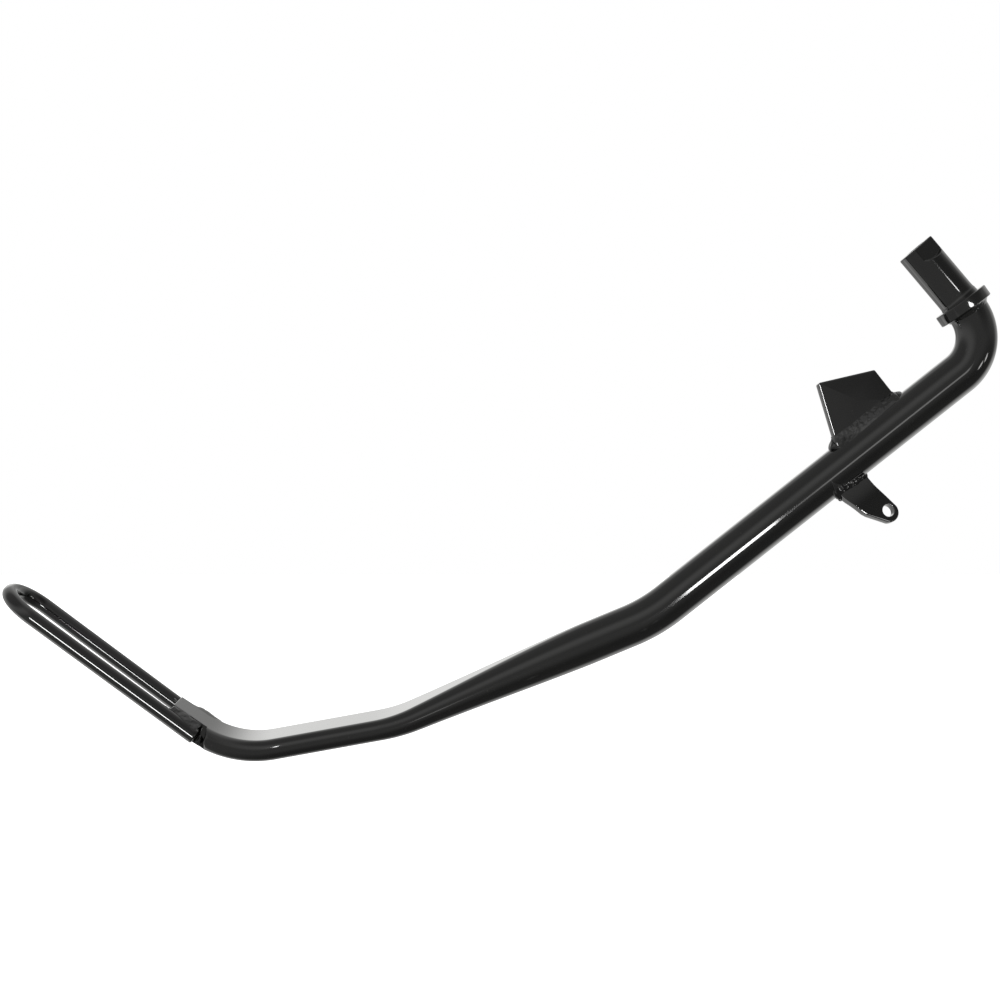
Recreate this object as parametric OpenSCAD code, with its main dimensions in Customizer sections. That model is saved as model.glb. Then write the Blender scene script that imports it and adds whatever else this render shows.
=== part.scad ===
// Kickstand leg for a cruiser motorcycle: one forged bar with a turned pivot shaft, and a thrust
// collar, a stop plate, a spring tab and a foot loop welded to it.
// Frame: origin on the shaft's axis where its full diameter starts, level with the collar's
// highest edge; +Z up, -X towards the foot, +Y square to the plane of the bends.
// All of the bar's bends lie in the XZ plane.

/* [Bar] */
// Diameter of the round bar
bar_d = 20; // [19:0.5:22]
// Thickness of the lower leg, where the bar is pressed flat
pressed_t = 10.1; // [9:0.1:13]
// Thickness at the tongue's end
tongue_t = 8.8; // [8:0.1:9]
// Lean of the pressed flats about the bar's own axis
flat_roll = 8; // [0:1:12]
// Distance from the knee's corner to where the pressing starts
press_start = 34; // [25:1:40]
// Length over which the bar thins to its pressed thickness
press_len = 106; // [60:1:110]

/* [Bends] */
// Lean of the pivot shaft from the vertical
shaft_lean = 40.2; // [30:0.1:50]
// Distance from the shaft's foot down its axis to the elbow's corner
elbow_drop = 28; // [27:0.5:40]
// Fall of the upper run below the horizontal
upper_fall = 38.3; // [34:0.1:42]
// Upper run, elbow's corner to knee's corner
upper_run = 209.3; // [180:0.1:260]
// Fall of the middle run
middle_fall = 22.5; // [16:0.1:30]
// Middle run, knee's corner to ankle's corner
middle_run = 129.9; // [115:0.1:180]
// Fall of the lower run
lower_fall = 10.2; // [4:0.1:14]
// Lower run, ankle's corner to heel's corner
lower_run = 80.6; // [60:0.1:120]
// Rise of the foot above the horizontal
foot_rise = 36.4; // [25:0.1:42]
// Heel's corner to the end of the tongue
tongue_reach = 35; // [30:0.5:45]
// Centreline radius of the elbow
elbow_r = 21.7; // [18:0.1:22]
// Centreline radius of the knee and of the ankle
knee_r = 80; // [40:1:100]
// Centreline radius of the heel
heel_r = 48; // [30:1:56]

/* [Pivot] */
// Diameter of the turned pivot shaft
shaft_d = 19.05; // [16:0.05:19.5]
// Length of the shaft, from its foot to its end face
shaft_len = 31.75; // [25:0.25:45]
// Length of the key flat at the shaft's free end, along its middle
key_len = 9.2; // [6:0.1:11]
// Distance of the key flat from the shaft axis
key_offset = 6.5; // [6:0.1:8]
// Turn of the key flat about the shaft, from facing rearward
key_turn = 35; // [0:1:90]
// Radius of the milling cutter that left the key flat's round end
key_cutter_r = 12.6; // [10:0.1:20]
// Tapping diameter of the retaining bolt's hole
thread_d = 8; // [6:0.1:9]
// Depth of the retaining bolt's hole
thread_depth = 22; // [12:1:24]
// Outer diameter of the thrust collar
collar_d = 27.8; // [26:0.1:32]
// Thickness of the thrust collar
collar_t = 5.5; // [4:0.1:5.5]
// Lean of the thrust collar on the shaft, as welded
collar_lean = 5; // [0:0.1:5]

/* [Stop plate] */
// Thickness of the stop plate
stop_t = 7; // [5:0.5:8]
// Distance from the elbow's corner to the stop plate's inboard edge
stop_start = 53.1; // [45:0.1:60]
// Length of the stop plate's foot along the bar
stop_foot = 38; // [30:0.5:50]
// Length of the stop plate's top edge, measured along the bar
stop_top = 25.6; // [15:0.1:28]
// Height of the inboard edge above the bar's axis
stop_low = 26.4; // [20:0.1:35]
// Height of the outboard top corner above the bar's axis
stop_high = 38.2; // [30:0.1:45]
// Turn of the stop plate across the bar
stop_yaw = 9.5; // [0:0.5:12]

/* [Spring tab] */
// Thickness of the spring tab
tab_t = 5; // [3:0.5:6]
// Distance from the elbow's corner to the spring hole
tab_station = 91; // [80:0.1:110]
// Distance of the spring hole below the bar's axis
tab_hole_drop = 29.9; // [27:0.1:36]
// Diameter of the spring hole
tab_hole_d = 6; // [4:0.1:7]
// Radius of the tab's rounded tip
tab_tip_r = 5; // [4.8:0.1:5.6]
// Distance of the tab's joggle below the bar's axis
tab_joggle_drop = 18; // [16:0.5:20]
// Slope of the tab's root, between the bar and the joggle
tab_joggle = 15; // [0:1:18]
// Turn of the tab across the bar
tab_yaw = 20; // [0:1:25]

/* [Foot loop] */
// Diameter of the loop's rod
rod_d = 7.5; // [6:0.1:8]
// Distance between the rod's centres at the rounded end
loop_tip_w = 31.8; // [30:0.1:34]
// Distance between the rod's centres at the tongue
loop_root_w = 29.2; // [29:0.1:30]
// Heel's corner to the rod's centre at the rounded end
loop_reach = 129.7; // [100:0.1:160]
// Heel's corner to the cut ends of the rod
loop_root = 18; // [17:0.5:22]
// Drop of the loop's plane below the middle of the tongue
loop_drop = 1.1; // [0:0.1:1.3]
// Width of the tongue between the two notches
tongue_w = 21.5; // [20:0.1:21.6]
// Heel's corner to the shoulders that end the notches
notch_start = 13.3; // [11:0.1:15]
// Lean of the notches' shoulders over the rod
notch_tilt = 26; // [0:1:30]

/* [Hidden] */

paint = [0.06, 0.06, 0.058];
weld_paint = [0.1, 0.1, 0.095];
$fn = 96;

around = 32;             // points around the bar's section
edge_break = 0.4;        // chamfer on turned edges
cut_over = 1;            // how far cutting solids run past a surface
fit_gap = 0.1;           // gap between the bar and what is slipped over or laid along it
bevel = 4.2;             // height of the weld bevel at the stop plate's foot
weld_end = 1.5;          // how far a weld runs on past the outboard end of its plate
weld_run_on = 3;         // how far a weld runs on past the elbow end of its plate
seat_len = 2.4;          // length over which the shaft swells to the bar's diameter

// The bar's centreline: straight runs between corners, each corner rounded by a bend.
// Headings are measured in the XZ plane from +X towards +Z.
heading = [270 + shaft_lean, 180 + upper_fall, 180 + middle_fall, 180 + lower_fall, 180 - foot_rise];
run = [elbow_drop, upper_run, middle_run, lower_run, tongue_reach];
bend_r = [0, elbow_r, knee_r, knee_r, heel_r];

function dir(a) = [cos(a), sin(a)];
function corner(i) = i == 0 ? [0, 0] : corner(i - 1) + run[i - 1] * dir(heading[i - 1]);
function turn(i) = heading[i - 1] - heading[i];
function tangent(i) = i == 0 ? 0 : bend_r[i] * tan(turn(i) / 2);
function arc_len(i) = i == 0 ? 0 : bend_r[i] * turn(i) * PI / 180;
function bend_centre(i) =
    corner(i) - tangent(i) * dir(heading[i - 1]) + bend_r[i] * dir(heading[i - 1] - 90);
// Length along the centreline from the shaft's foot to the start of bend i
function bend_at(i) =
    i == 0 ? 0 : bend_at(i - 1) + arc_len(i - 1) + run[i - 1] - tangent(i - 1) - tangent(i);

// Lengths along the centreline to the start of the foot and to the tongue's end
foot_at = bend_at(4) + arc_len(4);
bar_len = foot_at + tongue_reach - tangent(4);

// Stations along the bar: [x, z, heading, length from the shaft's foot]
function bend_stations(i, steps) = [
    for (k = [0 : steps])
        let (a = turn(i) * k / steps)
        concat(
            bend_centre(i) + bend_r[i] * dir(heading[i - 1] - a + 90),
            [heading[i - 1] - a, bend_at(i) + arc_len(i) * k / steps]
        )
];
function run_stations(i, steps) = [
    for (k = [1 : steps - 1])
        let (d = tangent(i) + (run[i] - tangent(i) - tangent(i + 1)) * k / steps)
        concat(
            corner(i) + d * dir(heading[i]),
            [heading[i], bend_at(i) + arc_len(i) + d - tangent(i)]
        )
];
stations = concat(
    [concat(seat_len * dir(heading[0]), [heading[0], seat_len])],
    bend_stations(1, 12),
    bend_stations(2, 4),
    run_stations(2, 12),
    bend_stations(3, 4),
    bend_stations(4, 10),
    [concat(corner(5), [heading[4], bar_len])]
);

// Pressing thins the bar and spreads it, and keeps the section's area.
press_at = bend_at(2) + arc_len(2) + press_start - tangent(2);
function clamp01(v) = max(0, min(1, v));
function eased(v) = (v + v * v * (3 - 2 * v)) / 2;
function thickness(s) =
    bar_d - (bar_d - pressed_t) * eased(clamp01((s - press_at) / press_len))
        - (pressed_t - tongue_t) * clamp01((s - foot_at) / (bar_len - foot_at));
function half_flat(t) = PI * (bar_d * bar_d - t * t) / (8 * t);

// One section: two half circles, as wide apart as the flat between them
function section_point(t, k) =
    let (a = (k + 0.5) * 360 / around, r = t / 2 / cos(180 / around))
    [sign(cos(a)) * half_flat(t) + r * cos(a), r * sin(a)];
function rolled(p) = [
    p[0] * cos(flat_roll) - p[1] * sin(flat_roll),
    p[0] * sin(flat_roll) + p[1] * cos(flat_roll)
];
function placed(st, p) = [
    st[0] + p[1] * cos(st[2] - 90),
    p[0],
    st[1] + p[1] * sin(st[2] - 90)
];

module swept_bar() {
    last = len(stations) - 1;
    points = [
        for (st = stations, k = [0 : around - 1])
            placed(st, rolled(section_point(thickness(st[3]), k)))
    ];
    walls = [
        for (i = [0 : last - 1], k = [0 : around - 1])
            let (next = (k + 1) % around)
            [i * around + k, i * around + next, (i + 1) * around + next, (i + 1) * around + k]
    ];
    start_cap = [for (k = [around - 1 : -1 : 0]) k];
    end_cap = [for (k = [0 : around - 1]) last * around + k];
    polyhedron(points, concat(walls, [start_cap, end_cap]), convexity = 6);
}

// +Z up the pivot shaft from its foot, +X towards the elbow's outer side
module pivot_frame() {
    rotate([0, -shaft_lean, 0]) children();
}

// +X up the upper run towards the elbow, +Z square to it and upward
module upper_frame(station) {
    at = corner(1) + station * dir(heading[1]);
    translate([at[0], 0, at[1]]) rotate([0, -upper_fall, 0]) children();
}

// +X down the foot towards the heel's corner, +Y across the loop, +Z out of the tongue's top
module foot_frame() {
    at = corner(4);
    translate([at[0], 0, at[1]]) rotate([0, foot_rise, 0]) rotate([flat_roll, 0, 0]) children();
}

// A prism along X with its outline given in Y and Z, from x = -len to x = 0
module along_x(len) {
    rotate([90, 0, -90]) linear_extrude(len) mirror([1, 0]) children();
}

// +X out of the key flat, +Z up the pivot shaft
module key_cut() {
    pivot_frame()
        rotate([0, 0, key_turn - 90]) {
            translate([key_offset, -shaft_d, shaft_len - key_len + key_cutter_r])
                cube([shaft_d, 2 * shaft_d, key_cutter_r]);
            translate([key_offset, 0, shaft_len - key_len + key_cutter_r])
                rotate([0, 90, 0])
                    cylinder(h = shaft_d, r = key_cutter_r);
        }
}

module bolt_hole() {
    mouth = 1;
    pivot_frame() {
        translate([0, 0, shaft_len - thread_depth]) cylinder(h = thread_depth + cut_over, d = thread_d);
        translate([0, 0, shaft_len - mouth])
            cylinder(h = mouth + cut_over, d1 = thread_d, d2 = thread_d + 2 * (mouth + cut_over));
    }
}

// The notches beside the tongue, one for each end of the loop's rod
module notches() {
    foot_frame()
        for (side = [-1, 1])
            translate([-notch_start, side * (tongue_w / 2 + bar_d / 2), 0])
                rotate([0, -notch_tilt, 0])
                    translate([-1.5 * tongue_reach, -bar_d / 2, -bar_d])
                        cube([1.5 * tongue_reach, bar_d, 2 * bar_d]);
}

module turned_shaft() {
    pivot_frame() {
        cylinder(h = shaft_len - edge_break, d = shaft_d);
        translate([0, 0, -seat_len - 0.2]) cylinder(h = seat_len + 0.2, d1 = bar_d - 0.1, d2 = shaft_d);
        translate([0, 0, shaft_len - edge_break])
            cylinder(h = edge_break, d1 = shaft_d, d2 = shaft_d - 2 * edge_break);
    }
}

module leg_bar() {
    color(paint)
        difference() {
            union() {
                swept_bar();
                turned_shaft();
            }
            key_cut();
            bolt_hole();
            notches();
        }
}

// +Z up the collar's own axis, from its top face
module collar_frame() {
    pivot_frame()
        translate([0, 0, -collar_d / 2 * tan(collar_lean)])
            rotate([0, collar_lean, 0])
                children();
}

module thrust_collar() {
    bore_r = bar_d / 2 + 0.35;
    color(paint)
        collar_frame()
            rotate_extrude()
                polygon([
                    [bore_r, 0],
                    [collar_d / 2 - edge_break, 0],
                    [collar_d / 2, -edge_break],
                    [collar_d / 2, edge_break - collar_t],
                    [collar_d / 2 - edge_break, -collar_t],
                    [bore_r, -collar_t]
                ]);
}

// Fillet between the collar's underside and the elbow, open on the elbow's inner side
module collar_weld() {
    open_angle = 90;
    leg = 2.8;
    root = bar_d / 2 - 1;
    color(weld_paint)
        difference() {
            collar_frame()
                rotate([0, 0, open_angle / 2 - 180])
                    rotate_extrude(angle = 360 - open_angle)
                        polygon([
                            [root, -collar_t],
                            [bar_d / 2 + 0.9 * leg, -collar_t],
                            [bar_d / 2 + 0.6 * leg, -collar_t - 0.5 * leg],
                            [bar_d / 2 + 0.2 * leg, -collar_t - leg],
                            [bar_d / 2, -collar_t - 1.4 * leg],
                            [root, -collar_t - 1.4 * leg]
                        ]);
            elbow_clearance();
        }
}

// Round stand-in for the bar through the elbow, to cut welds to its surface
module elbow_clearance() {
    centre = bend_centre(1);
    pivot_frame() translate([0, 0, -elbow_drop / 2]) cylinder(h = elbow_drop / 2, d = bar_d + fit_gap);
    translate([centre[0], 0, centre[1]])
        rotate([90, 0, 0])
            rotate_extrude()
                translate([elbow_r, 0]) circle(d = bar_d + fit_gap);
}

module upper_bar_clearance(len) {
    rotate([0, 90, 0]) cylinder(h = len, d = bar_d + fit_gap, center = true);
}

// +X along the stop plate's foot from its outboard end to its inboard edge
module stop_frame() {
    upper_frame(stop_start + stop_foot / 2)
        rotate([0, 0, stop_yaw])
            translate([stop_foot / 2, 0, 0])
                children();
}

module stop_outline() {
    foot_z = bar_d / 2 - 2;
    polygon([
        [0, foot_z],
        [0, stop_low],
        [-stop_top, stop_high],
        [-stop_foot, foot_z]
    ]);
}

// Cuts the 45 degree weld bevel on one face of the stop plate's foot
module stop_bevel(side) {
    toe = bar_d / 2 + bevel - 0.6;
    translate([cut_over, 0, 0])
        along_x(stop_foot + 2 * cut_over)
            polygon([
                [side * stop_t / 2, toe],
                [side * (stop_t / 2 - bevel / 2), toe - bevel / 2],
                [side * (stop_t / 2 - bevel / 2), 0],
                [side * stop_t, 0],
                [side * stop_t, toe]
            ]);
}

module stop_plate_solid() {
    difference() {
        translate([0, stop_t / 2, 0]) rotate([90, 0, 0]) linear_extrude(stop_t) stop_outline();
        for (side = [-1, 1]) stop_bevel(side);
    }
}

module stop_plate() {
    color(paint)
        difference() {
            stop_frame() stop_plate_solid();
            upper_frame(stop_start + stop_foot / 2) upper_bar_clearance(2 * stop_foot);
        }
}

module stop_weld(side) {
    toe = bar_d / 2 + bevel - 0.6;
    reach = 3.9;
    color(weld_paint)
        difference() {
            stop_frame()
                translate([weld_run_on, 0, 0])
                    along_x(stop_foot + weld_run_on + weld_end)
                        polygon([
                            [side * (stop_t / 2 - bevel / 2), toe - bevel / 2],
                            [side * stop_t / 2, toe],
                            [side * (stop_t / 2 + 0.35 * reach), toe - 0.3 * bevel],
                            [side * (stop_t / 2 + reach), toe - 1.4 * bevel],
                            [side * (stop_t / 2 + reach), toe - 2 * bevel],
                            [side * (stop_t / 2 - bevel / 2), toe - 2 * bevel]
                        ]);
            stop_frame() stop_plate_solid();
            upper_frame(stop_start + stop_foot / 2) upper_bar_clearance(2 * stop_foot);
        }
}

module stop_weld_rear() {
    stop_weld(-1);
}

module stop_weld_front() {
    stop_weld(1);
}

// +X along the bar towards the elbow, +Z down from the bar's axis to the spring hole
module tab_frame() {
    upper_frame(tab_station) rotate([0, 0, tab_yaw]) mirror([0, 0, 1]) children();
}

// The tab widens from its tip to its root; the outline is cut at the joggle
module tab_outline(from, to) {
    tip_z = tab_hole_drop + 0.7;
    intersection() {
        difference() {
            union() {
                translate([-0.2, tip_z]) circle(r = tab_tip_r);
                polygon([
                    [7, 6],
                    [4.6, 10],
                    [3.2, 12.2],
                    [2.6, 14.5],
                    [2.9, tab_joggle_drop],
                    [tab_tip_r - 0.2, tip_z],
                    [-0.2 - 0.79 * tab_tip_r, tip_z + 0.62 * tab_tip_r],
                    [-9.6, 26],
                    [-10.6, 23.6],
                    [-11.8, 18.5],
                    [-13.2, 13.4],
                    [-13.8, 6]
                ]);
            }
            translate([0, tab_hole_drop]) circle(d = tab_hole_d);
        }
        translate([-20, from]) square([40, to - from]);
    }
}

module tab_slab(from, to) {
    translate([0, tab_t / 2, 0]) rotate([90, 0, 0]) linear_extrude(tab_t) tab_outline(from, to);
}

// Inclined root, round joggle and upright outer part
module tab_solid() {
    joggle_shift = (tab_joggle_drop - bar_d / 2) * tan(tab_joggle);
    translate([0, -joggle_shift, 0]) tab_slab(tab_joggle_drop, tab_hole_drop + 2 * tab_tip_r);
    translate([0, -joggle_shift, tab_joggle_drop])
        rotate([tab_joggle, 0, 0])
            translate([0, 0, -tab_joggle_drop])
                tab_slab(6, tab_joggle_drop);
    translate([-11.9, -joggle_shift, tab_joggle_drop])
        rotate([0, 90, 0])
            cylinder(h = 11.9 + 2.9, d = tab_t);
}

module spring_tab() {
    color(paint)
        difference() {
            tab_frame() tab_solid();
            upper_frame(tab_station) upper_bar_clearance(80);
        }
}

module tab_weld(side) {
    toe = bar_d / 2 + 1.6;
    color(weld_paint)
        difference() {
            tab_frame()
                translate([4.5, 0, 0])
                    along_x(20)
                        polygon([
                            [0, toe - 3],
                            [0, toe + 0.4],
                            [side * (tab_t / 2 + 0.6), toe + 0.4],
                            [side * (tab_t / 2 + 1.7), toe - 0.6],
                            [side * (tab_t / 2 + 2.4), toe - 2.4],
                            [side * (tab_t / 2 + 2.4), toe - 4],
                            [0, toe - 4]
                        ]);
            tab_frame() tab_solid();
            upper_frame(tab_station) upper_bar_clearance(80);
        }
}

module tab_weld_rear() {
    tab_weld(-1);
}

module tab_weld_front() {
    tab_weld(1);
}

// The loop's two legs converge from the rounded end towards the tongue.
tip_centre = loop_reach - loop_tip_w / 2;
splay = atan((loop_tip_w - loop_root_w) / 2 / (tip_centre - loop_root));

module loop_leg(side, d) {
    leg_len = (tip_centre - loop_root) / cos(splay);
    translate([-tip_centre, 0, -loop_drop])
        rotate([0, 0, -side * splay])
            translate([0, side * loop_tip_w / 2, 0])
                rotate([0, 90, 0])
                    cylinder(h = leg_len, d = d);
}

module loop_bend(d) {
    translate([-tip_centre, 0, -loop_drop])
        rotate([0, 0, 90 - splay])
            rotate_extrude(angle = 180 + 2 * splay)
                translate([loop_tip_w / 2, 0]) circle(d = d);
}

module foot_loop() {
    color(paint)
        foot_frame() {
            loop_bend(rod_d);
            for (side = [-1, 1]) loop_leg(side, rod_d);
        }
}

// Fillet in the groove between the tongue's side and the rod, above and below
module loop_weld(side) {
    wall = tongue_w / 2 + fit_gap / 2;
    rod_y = loop_root_w / 2;
    bead_len = tongue_reach - loop_root + 2.5;
    top = pressed_t / 2;
    color(weld_paint)
        foot_frame()
            difference() {
                union() {
                    translate([-loop_root, 0, 0])
                        along_x(bead_len)
                            polygon([
                                [side * wall, 0.8 * top],
                                [side * (wall + 1.4), 0.65 * top],
                                [side * (rod_y - 0.2), rod_d / 2 - loop_drop + 0.1],
                                [side * rod_y, 0],
                                [side * (rod_y - 0.6), -rod_d / 2 - loop_drop + 0.1],
                                [side * wall, -0.93 * top]
                            ]);
                    if (side > 0) notch_fill(wall);
                }
                loop_leg(side, rod_d + 0.02);
            }
}

// Crown of weld that closes the front notch, between the rod's cut end and the shoulder
module notch_fill(wall) {
    crown_r = 3.1;
    crown_z = 2.4;
    run_in = 4;
    intersection() {
        translate([-loop_root - 6, wall + crown_r - 0.4, crown_z])
            rotate([0, 90, 0]) {
                cylinder(h = 6 + loop_root, r = crown_r);
                translate([0, 0, -run_in]) cylinder(h = run_in, r1 = 0.4 * crown_r, r2 = crown_r);
            }
        translate([-notch_start - fit_gap, 0, 0])
            rotate([0, -notch_tilt, 0])
                translate([-tongue_reach, wall, -bar_d])
                    cube([tongue_reach, bar_d, 2 * bar_d]);
    }
}

module loop_weld_rear() {
    loop_weld(-1);
}

module loop_weld_front() {
    loop_weld(1);
}

leg_bar();
thrust_collar();
collar_weld();
stop_plate();
stop_weld_rear();
stop_weld_front();
spring_tab();
tab_weld_rear();
tab_weld_front();
foot_loop();
loop_weld_rear();
loop_weld_front();
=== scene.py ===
import math

import bmesh
import bpy
from mathutils import Matrix, Vector, noise


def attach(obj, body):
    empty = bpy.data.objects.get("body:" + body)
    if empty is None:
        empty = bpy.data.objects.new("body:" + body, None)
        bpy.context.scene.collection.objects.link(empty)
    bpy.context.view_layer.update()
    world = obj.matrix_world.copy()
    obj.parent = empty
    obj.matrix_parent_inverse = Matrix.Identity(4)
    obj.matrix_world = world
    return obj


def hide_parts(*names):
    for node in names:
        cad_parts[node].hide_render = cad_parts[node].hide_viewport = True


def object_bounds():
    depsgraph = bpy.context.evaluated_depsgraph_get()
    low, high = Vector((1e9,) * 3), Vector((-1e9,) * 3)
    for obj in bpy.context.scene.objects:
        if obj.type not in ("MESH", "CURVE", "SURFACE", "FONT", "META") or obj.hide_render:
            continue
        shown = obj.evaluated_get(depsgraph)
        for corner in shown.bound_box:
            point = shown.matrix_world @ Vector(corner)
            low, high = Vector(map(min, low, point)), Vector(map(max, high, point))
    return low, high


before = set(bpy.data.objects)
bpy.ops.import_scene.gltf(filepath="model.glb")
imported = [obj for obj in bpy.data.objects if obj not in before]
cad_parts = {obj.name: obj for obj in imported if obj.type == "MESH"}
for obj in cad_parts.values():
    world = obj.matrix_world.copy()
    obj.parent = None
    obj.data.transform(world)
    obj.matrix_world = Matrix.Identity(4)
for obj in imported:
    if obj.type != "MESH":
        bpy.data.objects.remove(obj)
cad_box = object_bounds()
MM = 0.001

# ---------------------------------------------------------------- named dimensions (mm, degrees)
# the bar, and how it is pressed flat towards the foot
BAR_D = 20.0
PRESSED_T = 10.1
TONGUE_T = 8.8
TONGUE_W = 21.5
FLAT_ROLL = 8.0
PRESS_START = 34.0
PRESS_LEN = 106.0

# its runs from the shaft to the foot, with each one's slope, and the bend's radius at each start
SHAFT_LEAN = 40.2
UPPER_FALL = 38.3
MIDDLE_FALL = 22.5
LOWER_FALL = 10.2
FOOT_RISE = 36.4
RUN = (28.0, 209.3, 129.9, 80.6, 35.0)
BEND_R = (0.0, 21.7, 80.0, 80.0, 48.0)

# the notches beside the tongue
NOTCH_START = 13.3
NOTCH_LEAN = 26.0

# the pivot shaft, its key flat and its tapped hole
SHAFT_D = 19.05
SHAFT_LEN = 31.75
SEAT_LEN = 2.4
KEY_LEN = 9.2
KEY_OFFSET = 6.5
KEY_TURN = 35.0
KEY_CUTTER_R = 12.6
THREAD_D = 8.0
THREAD_DEPTH = 22.0
THREAD_PITCH = 1.5875

# the collar
COLLAR_D = 27.8
COLLAR_T = 5.5
COLLAR_LEAN = 5.0

# the stop plate: lengths along the bar, heights over the bar's axis
STOP_T = 7.0
STOP_START = 53.1
STOP_FOOT = 38.0
STOP_TOP = 25.6
STOP_LOW = 26.4
STOP_HIGH = 38.2
STOP_YAW = 9.5
STOP_WELD_TOP = 13.4

# the spring tab: drops are below the bar's axis
TAB_T = 5.0
TAB_STATION = 91.0
TAB_HOLE_DROP = 29.9
TAB_HOLE_D = 6.0
TAB_TIP_R = 5.0
TAB_JOGGLE_DROP = 18.0
TAB_JOGGLE = 15.0
TAB_YAW = 20.0

# the foot's rod
ROD_D = 7.4
LOOP_TIP_W = 31.8
LOOP_ROOT_W = 29.2
LOOP_REACH = 129.7
LOOP_ROOT = 18.0
LOOP_DROP = 1.1
LOOP_ROLL = 0.6

# edge radii: the shaft's end, the tongue's end, the plate, the tab and the rod's cut ends
EDGE = 0.65
TIP_EDGE = 0.25
PLATE_EDGE = 0.8
ROD_END_EDGE = 0.9

HEADING = (270 + SHAFT_LEAN, 180 + UPPER_FALL, 180 + MIDDLE_FALL, 180 + LOWER_FALL, 180 - FOOT_RISE)


def rad(a):
    return math.radians(a)


def clamp01(v):
    return max(0.0, min(1.0, v))


def smooth(v):
    v = clamp01(v)
    return v * v * (3 - 2 * v)


def lerp(a, b, t):
    return a + (b - a) * t


# ---------------------------------------------------------------- the bar's centreline, as in the CAD
def heading_dir(a):
    return Vector((math.cos(rad(a)), 0.0, math.sin(rad(a))))


def turn(i):
    return HEADING[i - 1] - HEADING[i]


def tangent(i):
    return 0.0 if i in (0, 5) else BEND_R[i] * math.tan(rad(turn(i)) / 2)


def arc_len(i):
    return 0.0 if i == 0 else BEND_R[i] * rad(turn(i))


CORNER = [Vector((0, 0, 0))]
for i in range(5):
    CORNER.append(CORNER[-1] + heading_dir(HEADING[i]) * RUN[i])
BEND_AT = [0.0]
for i in range(1, 5):
    BEND_AT.append(BEND_AT[-1] + arc_len(i - 1) + RUN[i - 1] - tangent(i - 1) - tangent(i))
FOOT_AT = BEND_AT[4] + arc_len(4)
BAR_LEN = FOOT_AT + RUN[4] - tangent(4)
PRESS_AT = BEND_AT[2] + arc_len(2) + PRESS_START - tangent(2)


def station(s):
    """Point on the centreline and heading, at length s from the thrust face."""
    for i in range(4, 0, -1):
        if s >= BEND_AT[i] + arc_len(i):
            d = tangent(i) + s - BEND_AT[i] - arc_len(i)
            return CORNER[i] + heading_dir(HEADING[i]) * d, HEADING[i]
        if s >= BEND_AT[i]:
            a = math.degrees((s - BEND_AT[i]) / BEND_R[i])
            h = HEADING[i - 1]
            centre = CORNER[i] - heading_dir(h) * tangent(i) + heading_dir(h - 90) * BEND_R[i]
            return centre + heading_dir(h - a + 90) * BEND_R[i], h - a
    return heading_dir(HEADING[0]) * s, HEADING[0]


def thickness(s):
    """Thickness of the bar at length s: pressed over PRESS_LEN, then thinner along the tongue."""
    v = clamp01((s - PRESS_AT) / PRESS_LEN)
    eased = (v + v * v * (3 - 2 * v)) / 2
    along_foot = clamp01((s - FOOT_AT) / (BAR_LEN - FOOT_AT))
    return BAR_D - (BAR_D - PRESSED_T) * eased - (PRESSED_T - TONGUE_T) * along_foot


def half_flat(t):
    """Half the width of the flats when the bar is pressed to thickness t and keeps its area."""
    return math.pi * (BAR_D * BAR_D - t * t) / (8 * t)


# ---------------------------------------------------------------- local frames, as in the CAD
def pivot_frame():
    return Matrix.Rotation(rad(-SHAFT_LEAN), 4, "Y")


def collar_frame():
    drop = -COLLAR_D / 2 * math.tan(rad(COLLAR_LEAN))
    return pivot_frame() @ Matrix.Translation((0, 0, drop)) @ Matrix.Rotation(rad(COLLAR_LEAN), 4, "Y")


def upper_frame(at):
    p = CORNER[1] + heading_dir(HEADING[1]) * at
    return Matrix.Translation(p) @ Matrix.Rotation(rad(-UPPER_FALL), 4, "Y")


def foot_frame():
    rise = Matrix.Rotation(rad(FOOT_RISE), 4, "Y")
    roll = Matrix.Rotation(rad(FLAT_ROLL), 4, "X")
    return Matrix.Translation(CORNER[4]) @ rise @ roll


def stop_frame():
    return (upper_frame(STOP_START + STOP_FOOT / 2) @ Matrix.Rotation(rad(STOP_YAW), 4, "Z")
            @ Matrix.Translation((STOP_FOOT / 2, 0, 0)))


def tab_frame():
    return upper_frame(TAB_STATION) @ Matrix.Rotation(rad(TAB_YAW), 4, "Z") @ Matrix.Scale(-1, 4, (0, 0, 1))


# ---------------------------------------------------------------- mesh helpers
def make(name, verts, faces, material, replaced, sharp=32.0):
    """A piece from points in mm, that stands for CAD nodes and rides on the one body."""
    mesh = bpy.data.meshes.new(name)
    mesh.from_pydata([tuple(Vector(v) * MM) for v in verts], [], faces)
    mesh.update()
    mesh.validate()
    bm = bmesh.new()
    bm.from_mesh(mesh)
    bmesh.ops.remove_doubles(bm, verts=bm.verts, dist=1e-7)
    bmesh.ops.recalc_face_normals(bm, faces=bm.faces)
    bm.to_mesh(mesh)
    bm.free()
    for p in mesh.polygons:
        p.use_smooth = True
    mesh.set_sharp_from_angle(angle=rad(sharp))
    obj = bpy.data.objects.new(name, mesh)
    bpy.context.scene.collection.objects.link(obj)
    mesh.materials.append(material)
    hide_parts(replaced)
    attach(obj, "root")
    return obj


def loft(rings):
    """Points and faces of an open-ended tube through rings of equal length."""
    n = len(rings[0])
    verts = [v for ring in rings for v in ring]
    faces = []
    for i in range(len(rings) - 1):
        for k in range(n):
            a = i * n + k
            b = i * n + (k + 1) % n
            faces.append((a, b, b + n, a + n))
    return verts, faces


def cap(verts, faces, ring_index, n):
    """Closes a ring with a fan to the mean of its points."""
    base = ring_index * n
    centre = Vector((0, 0, 0))
    for k in range(n):
        centre += Vector(verts[base + k])
    verts.append(centre / n)
    c = len(verts) - 1
    for k in range(n):
        faces.append((base + k, base + (k + 1) % n, c))


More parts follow.
